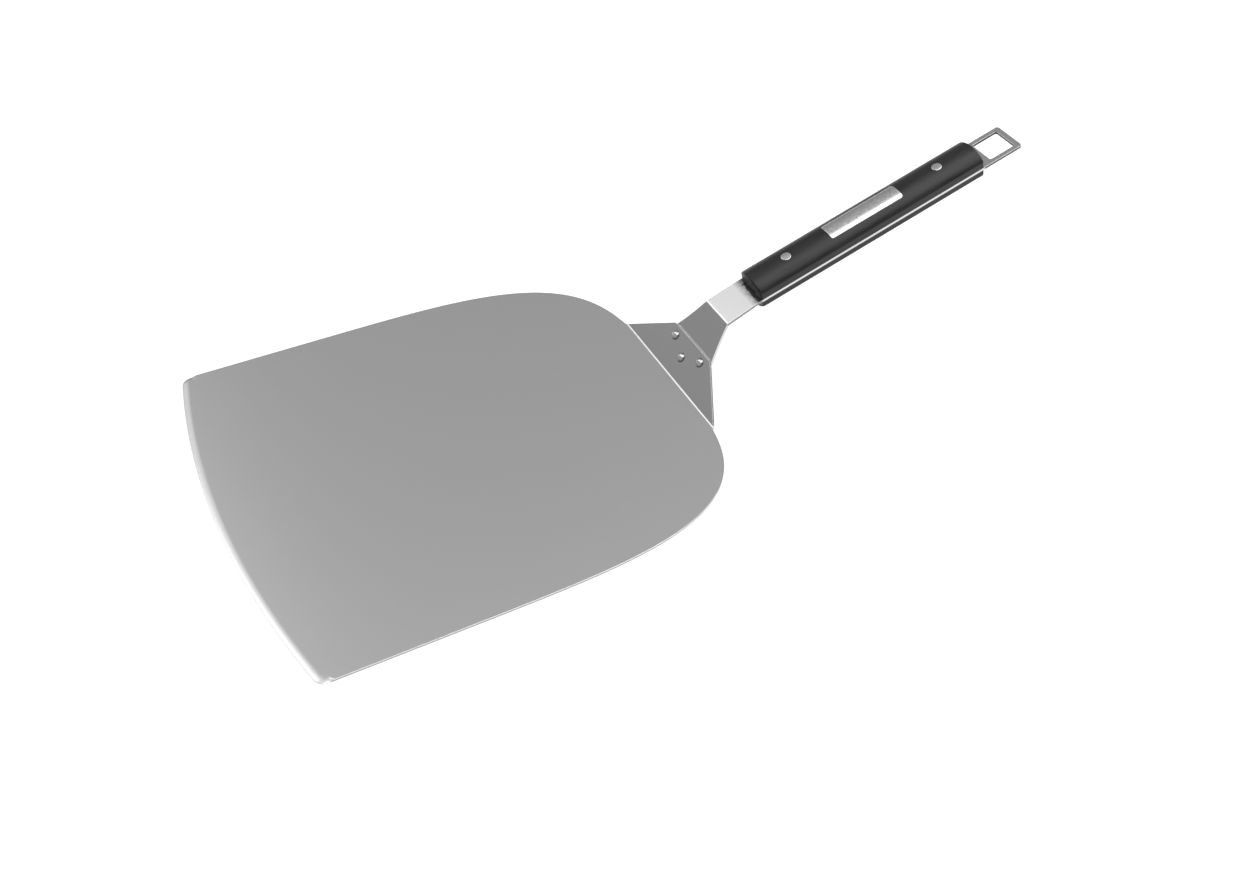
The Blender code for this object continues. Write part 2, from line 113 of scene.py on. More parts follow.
# How bright the bar's cut edges are against its faces, from the bend to the loop. The bar's darker edges are
# painted shade, darkest on the loop and in the slot's walls.
RISE_EDGE = 0.40
TANG_EDGE = 1.0
LOOP_EDGE = 0.18
SLOT_EDGE = 0.10
SHEARED_EDGE = 0.62  # the same for the blade

# Painted shade, in patches, on the bare stretch before the handle, growing towards the scales, and a share of
# it on the loop's faces
PAINTED_SHADE_START = 0.0205
PAINTED_SHADE_END = 0.0262
PAINTED_SHADE_DEPTH = 1.4
LOOP_SHADE_SHARE = 0.25

# Rivets through the tab: distance up it and offset across it
BLADE_RIVETS = {
    "blade_rivet_centre": (0.0140, 0.0),
    "blade_rivet_left": (0.0214, 0.0154),
    "blade_rivet_right": (0.0214, -0.0154),
}
DOME_RADIUS = 0.0032
DOME_HEIGHT = 0.0020
RIVET_SHANK_RADIUS = 0.0015
TAIL_RADIUS = 0.0026
TAIL_HEIGHT = 0.0009
TAIL_SOFT_EDGE = 0.0003
DOME_LAND = 0.0001  # flat ring under the dome's rim
DOME_RIM = 0.00008  # height of the rim over that ring

# Handle scales
SCALE_FRONT = 0.0286
SCALE_FRONT_BULGE = 0.00295
SCALE_FRONT_RAKE = 0.175
SCALE_END = 0.2042
CROWN_RADIUS = 0.0174
UPPER_HEIGHT = 0.0111
LOWER_HEIGHT = 0.0100
SCALE_EDGE_RADIUS = 0.0011
SCALE_SHOULDER_RADIUS = 0.0030
SCALE_SHOULDER_RUN = 0.0020  # how far in the crown is followed to turn the shoulder
SCALE_FOOT_EDGE = 0.00015

# Inlay plate
INLAY_START = 0.0877
INLAY_END = 0.1442
INLAY_HALF_WIDTH = 0.0069
INLAY_CORNER_RADIUS = 0.0020
INLAY_THICKNESS = 0.0008
INLAY_PROUD = 0.0004
INLAY_ROLL_START = 0.0042
INLAY_SEAT_MARGIN = 0.00015
INLAY_SOFT_EDGE = 0.00025
INLAY_EDGE_STEPS = (0.0, 0.00004, 0.0001, 0.00018, 0.00025, 0.001)
PAD_THICKNESS = 0.0004

# Handle rivets
HANDLE_RIVETS = {"front": 0.0564, "rear": 0.1756}
HEAD_RADIUS = 0.0034
HEAD_HEIGHT = 0.0020
BODY_RADIUS = 0.0027
PIN_RADIUS = 0.0015
MALE_SHOULDER = 0.0030
PIN_TIP = -0.0050
PIN_CHAMFER = 0.0006
HEAD_SOFT_EDGE = 0.00018
HEAD_FLANK = 0.0009  # the part of the head's side that follows the crown
HEAD_SEAT_CLEARANCE = 0.00012
HOLE_MARGIN = 0.0010  # how far a cutter stands past the face it cuts

# Frames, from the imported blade
BLADE_BOX_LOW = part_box("blade")[0]
NECK_DROP = SHEET + GAP
TAB_UP = Vector((math.cos(TAB_ANGLE), 0, math.sin(TAB_ANGLE)))
TAB_NORMAL = Vector((-math.sin(TAB_ANGLE), 0, math.cos(TAB_ANGLE)))
TANG_UP = Vector((math.cos(TANG_ANGLE), 0, math.sin(TANG_ANGLE)))
TANG_NORMAL = Vector((-math.sin(TANG_ANGLE), 0, math.cos(TANG_ANGLE)))
FOLD = Vector((BLADE_BOX_LOW.x + BLADE_LENGTH + FRONT_BOW, 0, BLADE_BOX_LOW.z + SHEET))
RISE_UP = Vector((math.cos(RISE_ANGLE), 0, math.sin(RISE_ANGLE)))
BEND = FOLD + TAB_UP * NECK_LENGTH - TAB_NORMAL * NECK_DROP
KNEE = BEND + RISE_UP * RISE_LENGTH
TANG_ZERO = KNEE - TANG_UP * KNEE_AT
TAB_FRAME = Matrix.Translation(FOLD) @ Matrix.Rotation(-TAB_ANGLE, 4, "Y")
HANDLE_FRAME = Matrix.Translation(TANG_ZERO) @ Matrix.Rotation(-TANG_ANGLE, 4, "Y")

# Smoothness
FRONT_STEPS = 60
CORNER_STEPS = 14
GROUND_STEPS = 10
SHOULDER_STEPS = 90
FILLET_STEPS = 8
FOLD_STEPS = 12
TURN_STEPS = 64
CROWN_STEPS = 44
ROUNDING_STEPS = 5
END_STEPS = 3
NECK_STEPS = 24
SCALE_LENGTHS = 12
DOME_STEPS = 14
TAIL_STEPS = 4
HEAD_RINGS = 6
PLATE_FLAT_STEPS = 24
PLATE_CORNER_STEPS = 10
HALF_ROUND = 0.3  # inset of an edge's middle point, as a share of its rounding
END_ROUND = 0.9  # rounding of a strip's end, as a share of its side edges'
LAND = 0.0001  # flat ring beside a softened edge


# ---------------------------------------------------------------- materials

class Graph:
    """A small helper that adds and links the nodes of one material."""

    def __init__(self, name):
        """Starts a material with a Principled shader and the piece's own coordinates."""
        self.material = bpy.data.materials.new(name)
        self.material.use_nodes = True
        self.tree = self.material.node_tree
        self.shader = self.tree.nodes["Principled BSDF"]
        self.coords = self.tree.nodes.new("ShaderNodeTexCoord").outputs["Object"]

    def put(self, target, value):
        """Links a socket to an input, or sets the input's value."""
        if isinstance(value, bpy.types.NodeSocket):
            self.tree.links.new(value, target)
        else:
            target.default_value = value

    def set(self, **values):
        """Sets or links the shader's inputs, named with _ for spaces."""
        for name, value in values.items():
            self.put(self.shader.inputs[name.replace("_", " ")], value)

    def along(self, direction, origin=Vector()):
        """How far the surface point lies along a direction from an origin."""
        node = self.tree.nodes.new("ShaderNodeVectorMath")
        node.operation = "DOT_PRODUCT"
        self.put(node.inputs[0], self.coords)
        node.inputs[1].default_value = direction
        return self.math("SUBTRACT", node.outputs["Value"], origin.dot(direction))

    def facing(self, direction):
        """How squarely the surface faces a direction or its opposite, 0 to 1."""
        node = self.tree.nodes.new("ShaderNodeVectorMath")
        node.operation = "DOT_PRODUCT"
        self.put(node.inputs[0], self.tree.nodes.new("ShaderNodeTexCoord").outputs["Normal"])
        node.inputs[1].default_value = direction
        return self.math("ABSOLUTE", node.outputs["Value"])

    def scaled(self, scale, offset=(0, 0, 0)):
        """The piece's own coordinates, scaled and shifted."""
        node = self.tree.nodes.new("ShaderNodeMapping")
        self.put(node.inputs["Vector"], self.coords)
        node.inputs["Scale"].default_value = scale
        node.inputs["Location"].default_value = offset
        return node.outputs["Vector"]

    def noise(self, scale, detail=2.0, rough=0.5, distortion=0.0, offset=(0, 0, 0)):
        """Noise whose scale is a count per metre along each axis."""
        node = self.tree.nodes.new("ShaderNodeTexNoise")
        self.put(node.inputs["Vector"], self.scaled(scale, offset))
        node.inputs["Scale"].default_value = 1.0
        node.inputs["Detail"].default_value = detail
        node.inputs["Roughness"].default_value = rough
        node.inputs["Distortion"].default_value = distortion
        return node.outputs["Fac"]

    def math(self, operation, a, b=0.0):
        """One Math node."""
        node = self.tree.nodes.new("ShaderNodeMath")
        node.operation = operation
        self.put(node.inputs[0], a)
        self.put(node.inputs[1], b)
        return node.outputs[0]

    def span(self, value, low, high, to_low, to_high):
        """Maps a value's range to another, clamped."""
        node = self.tree.nodes.new("ShaderNodeMapRange")
        self.put(node.inputs["Value"], value)
        node.inputs["From Min"].default_value = low
        node.inputs["From Max"].default_value = high
        node.inputs["To Min"].default_value = to_low
        node.inputs["To Max"].default_value = to_high
        return node.outputs["Result"]

    def mix(self, factor, a, b):
        """Mixes two colours."""
        node = self.tree.nodes.new("ShaderNodeMix")
        node.data_type = "RGBA"
        self.put(node.inputs["Factor"], factor)
        self.put(node.inputs["A"], a)
        self.put(node.inputs["B"], b)
        return node.outputs["Result"]

    def bump(self, height, distance, strength=1.0, normal=None):
        """A bump whose height is so many metres, over another normal if given."""
        node = self.tree.nodes.new("ShaderNodeBump")
        node.inputs["Strength"].default_value = strength
        node.inputs["Distance"].default_value = distance
        self.put(node.inputs["Height"], height)
        if normal:
            self.put(node.inputs["Normal"], normal)
        return node.outputs["Normal"]


def grey(value, warm=0.0):
    """A neutral colour, or a slightly warm one."""
    return (value + warm, value, value - warm, 1)


def brushed_steel(name, base, roughness, grain, contrast, spread, depth, shade_edges=None):
    """Satin stainless with hair-fine brushing along the axis of the smallest grain count."""
    g = Graph(name)
    hair = g.noise(grain, detail=3.0, rough=0.65)
    streak = g.noise(tuple(n / 5 for n in grain), detail=2.0, rough=0.6, offset=(3, 7, 1))
    cloud = g.noise((14, 14, 14), detail=3.0, rough=0.55, distortion=0.4)
    tone = g.math("ADD", g.math("MULTIPLY", hair, 0.7), g.math("MULTIPLY", streak, 0.3))
    level = g.span(tone, 0.3, 0.7, base * (1 - contrast), base * (1 + contrast))
    level = g.math("MULTIPLY", level, g.span(cloud, 0.3, 0.7, 1.0, 1 - contrast))
    if shade_edges:
        level = g.math("MULTIPLY", level, shade_edges(g))
    colour = g.tree.nodes.new("ShaderNodeCombineColor")
    for channel in colour.inputs[:3]:
        g.put(channel, level)
    g.set(Metallic=1.0, Base_Color=colour.outputs["Color"])
    rough = g.span(tone, 0.3, 0.7, roughness - spread, roughness + spread)
    g.set(Roughness=g.math("ADD", rough, g.span(cloud, 0.3, 0.7, -spread / 2, spread / 2)))
    g.set(Normal=g.bump(hair, depth))
    return g.material


def bar_edges(g):
    """Painted shade: cut edges darker than the faces but for those between the scales, and patchy shade on
    the faces before the handle and on the loop.
    """
    wall = g.span(g.facing(TANG_NORMAL), 0.55, 0.95, 1.0, 0.0)
    up_tang = g.along(TANG_UP, TANG_ZERO)
    across = g.math("ABSOLUTE", g.along(Vector((0, 1, 0))))
    # painted shade on the loop's edges, and darker still on the slot's walls
    beside_slot, past_slot = SLOT_HALF_WIDTH + 0.0008, SLOT_END + 0.0008
    inside = g.math("MULTIPLY", g.span(across, beside_slot, beside_slot + 0.0008, 1.0, 0.0),
                    g.span(up_tang, past_slot, past_slot + 0.0008, 1.0, 0.0))
    loop_edge = g.span(inside, 0.0, 1.0, LOOP_EDGE, SLOT_EDGE)
    tone = 1.0
    for start, level in ((0.0, RISE_EDGE), (SCALE_FRONT - 0.001, TANG_EDGE), (SCALE_END, loop_edge)):
        past = g.span(up_tang, start, start + 0.001, 0.0, 1.0)
        before = g.math("MULTIPLY", tone, g.math("SUBTRACT", 1.0, past))
        tone = g.math("ADD", before, g.math("MULTIPLY", level, past))
    edge_tone = g.math("ADD", 1.0, g.math("MULTIPLY", wall, g.math("SUBTRACT", tone, 1.0)))
    # painted shade on the faces, growing towards the scales and a quarter as strong on the loop
    painted_shade = g.math("MULTIPLY", g.span(up_tang, PAINTED_SHADE_START, PAINTED_SHADE_END, 0.0, PAINTED_SHADE_DEPTH),
                  g.noise((500, 500, 500), 3.0))
    on_top = g.math("MULTIPLY", g.span(up_tang, SCALE_END, SCALE_END + 0.001, 1.0, LOOP_SHADE_SHARE),
                    g.math("SUBTRACT", 1.0, wall))
    return g.math("MULTIPLY", edge_tone, g.math("SUBTRACT", 1.0, g.math("MULTIPLY", painted_shade, on_top)))


def sheared_edges(g):
    """The sheet's cut edges are a little duller than its faces."""
    raised = g.span(g.along(Vector((0, 0, 1))), SHEET + 0.0003, SHEET + 0.0012, 0.0, 1.0)
    flat_wall = g.span(g.facing(Vector((0, 0, 1))), 0.35, 0.80, 1.0, 0.0)
    tab_wall = g.span(g.facing(TAB_NORMAL), 0.35, 0.80, 1.0, 0.0)
    wall = g.math("ADD", g.math("MULTIPLY", flat_wall, g.math("SUBTRACT", 1.0, raised)),
                  g.math("MULTIPLY", tab_wall, raised))
    return g.span(wall, 0.0, 1.0, 1.0, SHEARED_EDGE)


def turned_steel(name, base, roughness, seat_lightness=1.0):
    """Polished rivet steel with faint marks and scuffs; a value under 1 paints shade in a ring round its
    seat.
    """
    g = Graph(name)
    marks = g.noise((900, 900, 900), detail=4.0, rough=0.7)
    scuff = g.noise((300, 2600, 2600), detail=2.0, rough=0.6, distortion=0.6)
    steel = g.mix(g.span(marks, 0.35, 0.65, 0, 1), grey(base * 0.92), grey(base * 1.04))
    height = g.along(Vector((0, 0, 1)))
    # painted shade: a dark ring where the head sits on the part below, kept off the tail
    rim = g.math("MULTIPLY", g.span(height, 0.0003, 0.0014, 1.0 - seat_lightness, 0.0),
                 g.span(height, -0.002, -0.001, 0.0, 1.0))
    g.set(Metallic=1.0, Base_Color=g.mix(rim, steel, grey(0.02)))
    g.set(Roughness=g.span(scuff, 0.3, 0.7, roughness - 0.05, roughness + 0.07))
    g.set(Normal=g.bump(marks, 5e-6, 1.0))
    return g.material


def blasted_steel(name, base, roughness):
    """Fine-blasted plate: tight even speckle that breaks up its highlights."""
    g = Graph(name)
    speckle = g.noise((2400, 2400, 2400), detail=2.0, rough=0.7)
    patch = g.noise((420, 420, 420), detail=3.0, rough=0.6)
    tone = g.math("ADD", g.math("MULTIPLY", speckle, 0.5), g.math("MULTIPLY", patch, 0.5))
    steel = g.mix(g.span(tone, 0.35, 0.65, 0, 1), grey(base * 0.90), grey(base * 1.05))
    g.set(Metallic=1.0, Base_Color=steel)
    g.set(Roughness=g.span(patch, 0.3, 0.7, roughness - 0.04, roughness + 0.06))
    g.set(Normal=g.bump(speckle, 4.5e-6, 1.0))
    return g.material


def stained_wood(name, dark, light, roughness):
    """Near-black stained hardwood: long figure, short open pores and a satin finish."""
    g = Graph(name)
    figure = g.noise((22, 200, 200), detail=4.0, rough=0.6, distortion=1.2)
    fibre = g.noise((60, 1800, 1800), detail=3.0, rough=0.65)
    pores = g.noise((240, 4200, 4200), detail=1.0, rough=0.5, offset=(5, 1, 9))
    pore = g.span(pores, 0.66, 0.74, 0.0, 1.0)
    tone = g.math("ADD", g.math("MULTIPLY", figure, 0.6), g.math("MULTIPLY", fibre, 0.4))
    body = g.mix(g.span(tone, 0.35, 0.65, 0, 1), grey(dark, dark * 0.03), grey(light, light * 0.03))
    g.set(Base_Color=g.mix(pore, body, grey(dark * 0.5)))
    g.set(Roughness=g.math("ADD", g.span(tone, 0.35, 0.65, roughness - 0.09, roughness + 0.09),
                           g.math("MULTIPLY", pore, 0.15)))
    wave = g.bump(figure, 4.5e-5, 1.0)
    grain = g.bump(fibre, 5e-6, 1.0, wave)
    g.set(Specular_IOR_Level=0.36, Normal=g.bump(g.math("MULTIPLY", pore, -1.0), 1.2e-5, 1.0, grain))
    return g.material


def foam(name):
    """Grey adhesive foam with a fine open texture."""
    g = Graph(name)
    cells = g.noise((3000, 3000, 3000), detail=3.0, rough=0.6)
    g.set(Base_Color=g.mix(cells, grey(0.12), grey(0.26)))
    g.set(Roughness=g.span(cells, 0.3, 0.7, 0.75, 0.95))
    g.set(Normal=g.bump(cells, 3e-5, 1.0))
    return g.material


def light_table(name, tone, glow):
    """Pale translucent sheet, lit from below as well, with a barely visible tooth."""
    g = Graph(name)
    tooth = g.noise((700, 700, 700), detail=3.0, rough=0.6)
    g.set(Base_Color=g.mix(tooth, grey(tone - 0.01), grey(tone + 0.01)))
    g.set(Roughness=g.span(tooth, 0.3, 0.7, 0.85, 0.95))
    g.set(Specular_IOR_Level=0.2, Normal=g.bump(tooth, 1e-5, 0.5))
    g.set(Emission_Color=(1, 1, 1, 1), Emission_Strength=glow)
    return g.material


# ---------------------------------------------------------------- outlines

def fillet(before, corner, after, radius, steps=FILLET_STEPS):
    """Points of the arc that rounds one corner of a 2D outline."""
    a = (Vector(before) - Vector(corner)).normalized()
    b = (Vector(after) - Vector(corner)).normalized()
    half = a.angle(b) / 2
    centre = Vector(corner) + (a + b).normalized() * radius / math.sin(half)
    start = Vector(corner) + a * radius / math.tan(half) - centre
    turn = start.angle_signed(Vector(corner) + b * radius / math.tan(half) - centre)
    points = []
    for i in range(steps + 1):
        angle = -turn * i / steps
        x = start.x * math.cos(angle) - start.y * math.sin(angle)
        y = start.x * math.sin(angle) + start.y * math.cos(angle)
        points.append(centre + Vector((x, y)))
    return points


def rounded_rectangle(x0, x1, half_width, radius):
    """A rectangle along X, symmetric about Y = 0, with four rounded corners."""
    corners = [(x0, -half_width), (x1, -half_width), (x1, half_width), (x0, half_width)]
    outline = []
    for i, corner in enumerate(corners):
        outline += fillet(corners[i - 1], corner, corners[(i + 1) % 4], radius)
    return outline


def tab_half_width(distance):
    """Half the tab's width at a distance up the slope from the fold line."""
    taper = (FOLD_HALF_WIDTH - TAB_REAR_HALF_WIDTH) / TAB_LENGTH
    return FOLD_HALF_WIDTH - taper * distance


def along_shoulder(distance):
    """How far along the shoulder's length, 0 to 1, a distance from the fold line is."""
    return min(1.0, 1 + (distance - SHOULDER_PAST_FOLD) / SHOULDER_LENGTH)


def sheet_half_width(distance):
    """Half the sheet's width near the fold, where the shoulder runs into the tab's side."""
    inside = 1 - along_shoulder(distance) ** SHOULDER_POWER
    return max(tab_half_width(distance), BLADE_HALF_WIDTH * inside ** (1 / SHOULDER_POWER))


def shoulder_point(angle):
    """A point of the squircle shoulder; the angle is 90 degrees at its widest."""
    power = 2 / SHOULDER_POWER
    along = math.cos(angle) ** power
    across = math.sin(angle) ** power
    return Vector((SHOULDER_PAST_FOLD + SHOULDER_LENGTH * (along - 1), BLADE_HALF_WIDTH * across))


def smooth_step(t):
    """Eases from 0 to 1."""
    return t * t * (3 - 2 * t)


def blade_half_outline(fold_start):
    """(point, share of full grinding) from the middle of the front edge to the fold."""
    bow_radius = (BLADE_HALF_WIDTH**2 + FRONT_BOW**2) / (2 * FRONT_BOW)
    bow_angle = math.asin(BLADE_HALF_WIDTH / bow_radius)
    bow_centre = bow_radius - BLADE_LENGTH - FRONT_BOW
    bow = []
    for i in range(FRONT_STEPS + 1):
        angle = bow_angle * i / FRONT_STEPS
        bow.append(Vector((bow_centre - bow_radius * math.cos(angle), bow_radius * math.sin(angle))))
    side_start = shoulder_point(math.pi / 2)
    corner = fillet(bow[-2], bow[-1], side_start, CORNER_RADIUS, CORNER_STEPS)
    clear = corner[0].y - 0.0005
    kept = [p for p in bow if p.y < clear]
    outline = [(point, 1.0) for point in kept + corner]
    for i in range(1, GROUND_STEPS + 1):
        t = i / GROUND_STEPS
        outline.append((corner[-1] + Vector((GROUND_RUN_OUT * t, 0)), 1 - smooth_step(t)))
    end = math.acos(along_shoulder(fold_start) ** (SHOULDER_POWER / 2))
    for i in range(SHOULDER_STEPS + 1):
        angle = math.pi / 2 + (end - math.pi / 2) * i / SHOULDER_STEPS
        outline.append((shoulder_point(angle), 0.0))
    return outline


# ---------------------------------------------------------------- solids

def loft(sections, bm=None):
    """A closed solid through rings of equal count, with an n-gon at each end."""
    bm = bm or bmesh.new()
    rings = [[bm.verts.new(point) for point in section] for section in sections]
    count = len(rings[0])
    for near, far in zip(rings, rings[1:]):
        for i in range(count):
            j = (i + 1) % count
            bm.faces.new((near[i], near[j], far[j], far[i]))
    bm.faces.new(rings[0])
    bm.faces.new(reversed(rings[-1]))
    return bm


def turned(profile, steps=TURN_STEPS):
    """Spins an (r, z) profile, which starts and ends on the Z axis, into a solid."""
    bm = bmesh.new()
    verts = [bm.verts.new((r, 0, z)) for r, z in profile]
    edges = [bm.edges.new(pair) for pair in zip(verts, verts[1:])]
    bmesh.ops.spin(
        bm, geom=verts + edges, cent=(0, 0, 0), axis=(0, 0, 1), angle=2 * math.pi, steps=steps, use_merge=True
    )
    bmesh.ops.remove_doubles(bm, verts=bm.verts, dist=1e-7)
    return bm


def rounding(radius, steps=ROUNDING_STEPS):
    """(inset, setback) pairs of a quarter round, from the end face to the side."""
    pairs = []
    for i in range(steps + 1):
        angle = math.pi / 2 * i / steps
        pairs.append((radius * (1 - math.sin(angle)), radius * (1 - math.cos(angle))))
    return pairs


def strip_ring(top, normal, half_width, thickness, edge, inset=0.0):
    """A rounded rectangle across a strip whose top face passes through the point `top`."""
    low, high = thickness - inset, inset
    wide = half_width - inset
    soft = HALF_ROUND * edge
    corner = [
        (wide - edge - LAND, high), (wide - edge, high), (wide - soft, high + soft), (wide, high + edge),
        (wide, low - edge), (wide - soft, low - soft), (wide - edge, low),
    ]
    ring = [top + Vector((0, y, 0)) - normal * depth for y, depth in corner]
    ring += [top + Vector((0, -y, 0)) - normal * depth for y, depth in reversed(corner)]
    return ring


def blade_mesh():
    """The ground flat sheet, the fold and the tab as one closed solid with softened edges."""
    tangent = FOLD_RADIUS * math.tan(TAB_ANGLE / 2)
    half = blade_half_outline(-tangent)
    outline = [(p.copy(), g) for p, g in reversed(half[1:])]
    outline = [(Vector((p.x, -p.y)), g) for p, g in outline] + half
    bm = bmesh.new()
    columns = []
    count = len(outline)
    e = SOFT_EDGE
    soft = HALF_ROUND * e
    for i, (point, ground) in enumerate(outline):
        if i in (0, count - 1):
            inward = Vector((0, -1 if i else 1))
        else:
            along = (outline[i + 1][0] - outline[i - 1][0]).normalized()
            inward = Vector((along.y, -along.x))
        rim = SHEET - (SHEET - CUTTING_EDGE) * ground
        inner = e + LAND + (GROUND_WIDTH - e - LAND) * ground
        profile = [
            (inner, SHEET), (e, rim), (soft, rim - soft), (0, rim - e), (0, e), (soft, soft), (e, 0),
        ]
        column = []
        for inset, z in profile:
            at = point + inward * inset
            column.append(bm.verts.new((FOLD.x + at.x, at.y, z)))
        columns.append(column)
    for near, far in zip(columns, columns[1:]):
        for k in range(len(near) - 1):
            bm.faces.new((near[k], near[k + 1], far[k + 1], far[k]))
    bm.faces.new([c[0] for c in columns])
    bm.faces.new([c[-1] for c in reversed(columns)])
    # the fold starts on the ring formed by the last column and the first
    previous = columns[-1] + list(reversed(columns[0]))
    for ring_points in tab_rings(tangent):
        ring = [bm.verts.new(p) for p in ring_points]
        for i in range(len(ring)):
            j = (i + 1) % len(ring)
            bm.faces.new((previous[i], previous[j], ring[j], ring[i]))
        previous = ring
    bm.faces.new(previous)
    return bm


def tab_rings(tangent):
    """Rings of the sheet through the fold and up the tab."""
    centre = FOLD + Vector((-tangent, 0, FOLD_RADIUS))
    e = SOFT_EDGE
    for i in range(1, FOLD_STEPS + 1):
        share = i / FOLD_STEPS
        angle = TAB_ANGLE * share
        normal = Vector((-math.sin(angle), 0, math.cos(angle)))
        half_width = sheet_half_width(tangent * (2 * share - 1))
        yield strip_ring(centre - normal * FOLD_RADIUS, normal, half_width, SHEET, e)
    end = TAB_LENGTH - e
    side, corner = (0, tab_half_width(0)), (end, tab_half_width(end))
    for point in fillet(side, corner, (end, 0), TAB_CORNER_RADIUS):
        yield strip_ring(FOLD + TAB_UP * point.x, TAB_NORMAL, point.y, SHEET, e)
        last = point
    for inset, setback in reversed(rounding(END_ROUND * e, END_STEPS)[:-1]):
        at = FOLD + TAB_UP * (end + END_ROUND * e - setback)
        yield strip_ring(at, TAB_NORMAL, last.y, SHEET, e, inset)


def neck_half_width(distance):
    """The neck narrows in a slight hollow curve from the tab's rear edge to the bend."""
    share = (distance - TAB_LENGTH) / (NECK_LENGTH - TAB_LENGTH)
    root = NECK_ROOT_HALF_WIDTH * (1 - share) * (1 - 2 * share)
    middle = NECK_MIDDLE_HALF_WIDTH * 4 * share * (1 - share)
    return root + middle + RISE_HALF_WIDTH * share * (2 * share - 1)


def turned_down(apex, steep, shallow, radius, half_width):
    """Rings of the strip round a bend that lowers its slope; the apex is where the slopes meet."""
    before = Vector((math.cos(steep), 0, math.sin(steep)))
    start_normal = Vector((-math.sin(steep), 0, math.cos(steep)))
    centre = apex - before * radius * math.tan((steep - shallow) / 2) - start_normal * radius
    rings = []
    for i in range(FOLD_STEPS + 1):
        angle = steep + (shallow - steep) * i / FOLD_STEPS
        normal = Vector((-math.sin(angle), 0, math.cos(angle)))
        rings.append(strip_ring(centre + normal * radius, normal, half_width, BAR, BAR_SOFT_EDGE))
    return rings


def bar_mesh():
    """The whole strip from the riveted foot to the hanging loop, before its slot and holes."""
    e = BAR_SOFT_EDGE
    rings = []
    under_tab = FOLD - TAB_NORMAL * NECK_DROP
    start = FOOT_START + e
    root = (TAB_LENGTH, NECK_ROOT_HALF_WIDTH)
    foot = fillet((start, 0), (start, FOOT_HALF_WIDTH), root, FOOT_CORNER_RADIUS)
    for inset, setback in rounding(END_ROUND * e, END_STEPS)[:-1]:
        at = under_tab + TAB_UP * (start - END_ROUND * e + setback)
        rings.append(strip_ring(at, TAB_NORMAL, foot[0].y, BAR, e, inset))
    for point in foot:
        rings.append(strip_ring(under_tab + TAB_UP * point.x, TAB_NORMAL, point.y, BAR, e))
    tangent = BEND_RADIUS * math.tan((TAB_ANGLE - RISE_ANGLE) / 2)
    for i in range(NECK_STEPS):
        distance = TAB_LENGTH + (NECK_LENGTH - tangent - TAB_LENGTH) * i / NECK_STEPS
        at = under_tab + TAB_UP * distance
        rings.append(strip_ring(at, TAB_NORMAL, neck_half_width(distance), BAR, e))
    rings += turned_down(BEND, TAB_ANGLE, RISE_ANGLE, BEND_RADIUS, RISE_HALF_WIDTH)
    rings += turned_down(KNEE, RISE_ANGLE, TANG_ANGLE, KNEE_RADIUS, BAR_HALF_WIDTH)
    end = TANG_LENGTH - e
    for point in fillet((0, BAR_HALF_WIDTH), (end, BAR_HALF_WIDTH), (end, 0), TANG_CORNER_RADIUS):
        rings.append(strip_ring(TANG_ZERO + TANG_UP * point.x, TANG_NORMAL, point.y, BAR, e))
        last = point
    for inset, setback in reversed(rounding(END_ROUND * e, END_STEPS)[:-1]):
        at = TANG_ZERO + TANG_UP * (end + END_ROUND * e - setback)
        rings.append(strip_ring(at, TANG_NORMAL, last.y, BAR, e, inset))
    return loft(rings)


def slot_cutter():
    """The hanging slot, flared a little at both faces so its edges come out softened."""
    e = BAR_SOFT_EDGE
    past = 0.0005
    rings = []
    soft = HALF_ROUND * e
    steps = (
        (e + past, past), (e, 0), (soft, -soft), (0, -e),
        (0, e - BAR), (soft, soft - BAR), (e, -BAR), (e + past, -BAR - past),
    )
    for grow, z in steps:
        outline = rounded_rectangle(
            SLOT_START - grow, SLOT_END + grow, SLOT_HALF_WIDTH + grow, SLOT_CORNER_RADIUS + grow)
        rings.append([(p.x, p.y, z) for p in outline])
    return loft(rings)


# ---------------------------------------------------------------- handle

def crown(y, height, inset=0.0):
    """Height of the rounded crown above the scale's flat face at an offset from its middle."""
    return height - CROWN_RADIUS + math.sqrt((CROWN_RADIUS - inset) ** 2 - y**2)


def scale_profile(height, inset):
    """(y, z) outline of a scale: flat face, sides, softened shoulders and crown."""
    half_width = BAR_HALF_WIDTH - inset
    shoulder = (half_width, crown(half_width, height, inset))
    run = half_width - SCALE_SHOULDER_RUN
    beside = (run, crown(run, height, inset))
    soft = fillet((half_width, CLOSE), shoulder, beside, SCALE_SHOULDER_RADIUS - inset)
    reach = soft[-1].x
    foot_soft = HALF_ROUND * SCALE_FOOT_EDGE
    right = [
        Vector((half_width - SCALE_FOOT_EDGE, CLOSE)),
        Vector((half_width - foot_soft, CLOSE + foot_soft)),
        Vector((half_width, CLOSE + SCALE_FOOT_EDGE)),
    ] + soft
    top = []
    for i in range(1, CROWN_STEPS):
        y = reach - 2 * reach * i / CROWN_STEPS
        top.append(Vector((y, crown(y, height, inset))))
    left = [Vector((-p.x, p.y)) for p in reversed(right)]
    return right + top + left


def scale_front(y, z):
    """Where the front face is along the tang: bowed at its foot, straighter higher up."""
    bulge = SCALE_FRONT_BULGE - SCALE_FRONT_RAKE * z
    return SCALE_FRONT - bulge * (1 - (y / BAR_HALF_WIDTH) ** 2)


